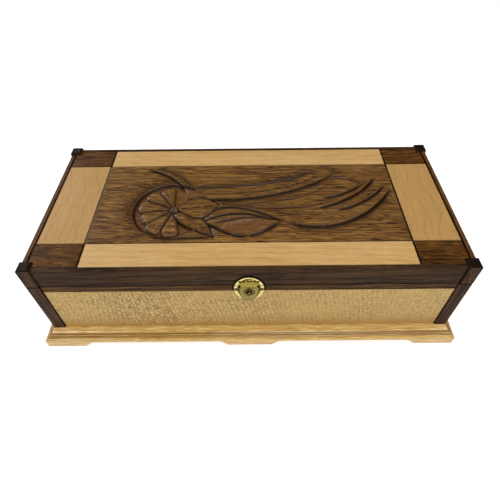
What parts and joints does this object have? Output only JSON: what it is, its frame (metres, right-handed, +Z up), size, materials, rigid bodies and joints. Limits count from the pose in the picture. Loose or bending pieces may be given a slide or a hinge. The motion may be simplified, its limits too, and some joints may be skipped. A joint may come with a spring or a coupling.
{
  "type": "wooden keepsake box",
  "caption": "Rectangular hinged-lid keepsake box in walnut and maple, with a carved lid panel, a moulded base on feet and a brass hasp, for storing small treasured items.",
  "frame": {"origin": "middle of the base at the level of its feet", "axes": "+Z up, X along the long side, the hasp on the -Y side and the hinges on the +Y side"},
  "size_m": [0.4836, 0.2296, 0.1317],
  "materials": {
    "maple_moulding": "satin lacquer, hard maple",
    "maple_figured": "satin lacquer, quartersawn figured maple",
    "maple_ply": "lacquered maple-faced ply",
    "stained_ply": "birch ply stained black on top",
    "maple_inlay": "satin lacquer, hard maple",
    "walnut_carved": "carved black walnut, lacquered",
    "walnut_inlay": "oiled black walnut",
    "walnut_posts": "oiled black walnut",
    "walnut_frame": "oiled black walnut",
    "brass_screws": "turned brass",
    "brass_hinge": "drawn brass, lightly polished",
    "brass_polished": "polished pressed brass, lacquered"
  },
  "bodies": {
    "case": {"base_moulding_back": "maple_moulding", "base_moulding_front": "maple_moulding", "base_moulding_left": "maple_moulding", "base_moulding_right": "maple_moulding", "bottom_panel": "maple_ply", "case_rail_back": "walnut_frame", "case_rail_front": "walnut_frame", "case_rail_left": "walnut_frame", "case_rail_right": "walnut_frame", "hasp_case_pins": "brass_polished", "hasp_case_plate": "brass_polished", "hinge_case_leaf_left": "brass_hinge", "hinge_case_leaf_right": "brass_hinge", "hinge_case_screws": "brass_screws", "maple_wall_back": "maple_figured", "maple_wall_front": "maple_figured", "maple_wall_left": "maple_figured", "maple_wall_right": "maple_figured", "post_back_left": "walnut_posts", "post_back_right": "walnut_posts", "post_front_left": "walnut_posts", "post_front_right": "walnut_posts"},
    "lid": {"carved_panel": "walnut_carved", "corner_block_back_left": "walnut_inlay", "corner_block_back_right": "walnut_inlay", "corner_block_front_left": "walnut_inlay", "corner_block_front_right": "walnut_inlay", "hasp_lid_pins": "brass_polished", "hasp_lid_plate": "brass_polished", "hasp_pin": "brass_polished", "hinge_lid_leaf_left": "brass_hinge", "hinge_lid_leaf_right": "brass_hinge", "hinge_lid_screws": "brass_screws", "hinge_pin_left": "brass_hinge", "hinge_pin_right": "brass_hinge", "inlay_strip_back": "maple_inlay", "inlay_strip_front": "maple_inlay", "inlay_strip_left": "maple_inlay", "inlay_strip_right": "maple_inlay", "lid_backer": "stained_ply", "lid_rail_back": "walnut_frame", "lid_rail_front": "walnut_frame", "lid_rail_left": "walnut_frame", "lid_rail_right": "walnut_frame", "post_cap_back_left": "walnut_posts", "post_cap_back_right": "walnut_posts", "post_cap_front_left": "walnut_posts", "post_cap_front_right": "walnut_posts"},
    "hasp": {"hasp_flap": "brass_polished", "hasp_knob": "brass_polished"}
  },
  "joints": [
    {"name": "lid_hinge", "type": "hinge", "parent": "case", "child": "lid", "pos_m": [0, 0.1045, 0.10395], "axis": [-1, 0, 0], "range_deg": [0, 95]},
    {"name": "hasp_hinge", "type": "hinge", "parent": "lid", "child": "hasp", "pos_m": [0, -0.10375, 0.1035], "axis": [-1, 0, 0], "range_deg": [0, 125]}
  ]
}
